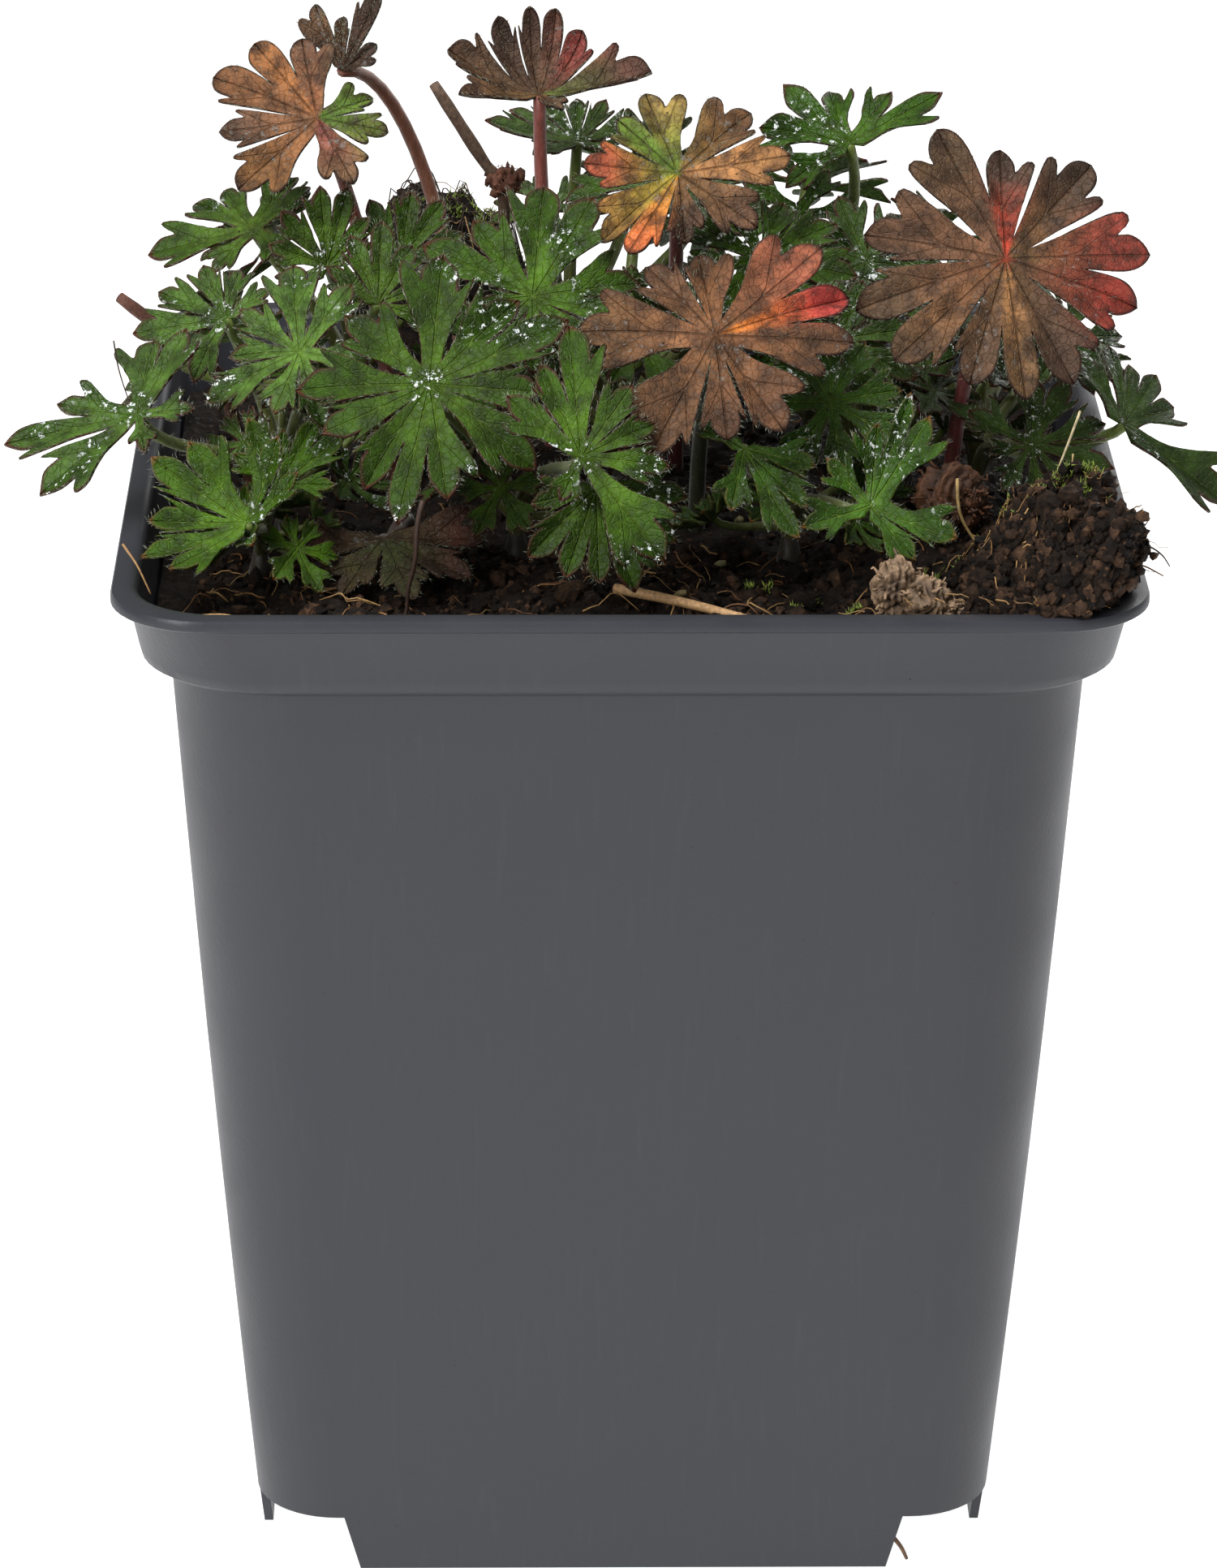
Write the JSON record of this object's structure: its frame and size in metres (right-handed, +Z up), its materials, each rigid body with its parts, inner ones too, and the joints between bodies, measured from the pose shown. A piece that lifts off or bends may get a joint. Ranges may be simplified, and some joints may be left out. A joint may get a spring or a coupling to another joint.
{
  "type": "potted hardy geranium",
  "caption": "Hardy geranium with divided green and autumn-brown leaves on thin stalks, standing in dark peat in a plain square nursery pot.",
  "frame": {"origin": "the middle of the pot's foot, on the ground", "axes": "+Z is up and the longest extent, -Y is the side that faces the viewer in the picture, +X is that viewer's right"},
  "size_m": [0.1365, 0.11, 0.169],
  "materials": {
    "pot_plastic": "satin dark grey moulded plastic",
    "peat": "damp crumbly potting peat",
    "green_leaf": "soft, finely haired mid-green leaf",
    "young_leaf": "soft, finely haired fresh-green leaf",
    "autumn_leaf": "autumn-brown leaf with green, orange and red parts",
    "purple_leaf": "dark green-brown leaf with purple edges",
    "dry_leaf": "withered, crumpled brown leaf",
    "old_wood": "old grey-brown stem",
    "straw": "pale dry straw"
  },
  "bodies": {
    "root": {"pot": "pot_plastic", "peat": "peat", "shoot_front": "green_leaf", "shoot_left": "green_leaf", "shoot_front_left": "young_leaf", "shoot_back_left": "green_leaf", "shoot_middle": "green_leaf", "shoot_middle_right": "green_leaf", "shoot_back": "green_leaf", "shoot_back_right": "green_leaf", "shoot_front_right": "young_leaf", "shoot_right": "green_leaf", "autumn_leaf_top_left": "autumn_leaf", "autumn_leaf_folded": "autumn_leaf", "autumn_leaf_top_middle": "autumn_leaf", "autumn_leaf_upper_right": "autumn_leaf", "autumn_leaf_front": "autumn_leaf", "autumn_leaf_right": "autumn_leaf", "low_purple_leaf": "purple_leaf", "old_stem_middle": "old_wood", "old_stem_left": "old_wood", "straw": "straw", "withered_leaf_tan": "dry_leaf", "withered_leaf_brown": "dry_leaf"}
  },
  "joints": []
}
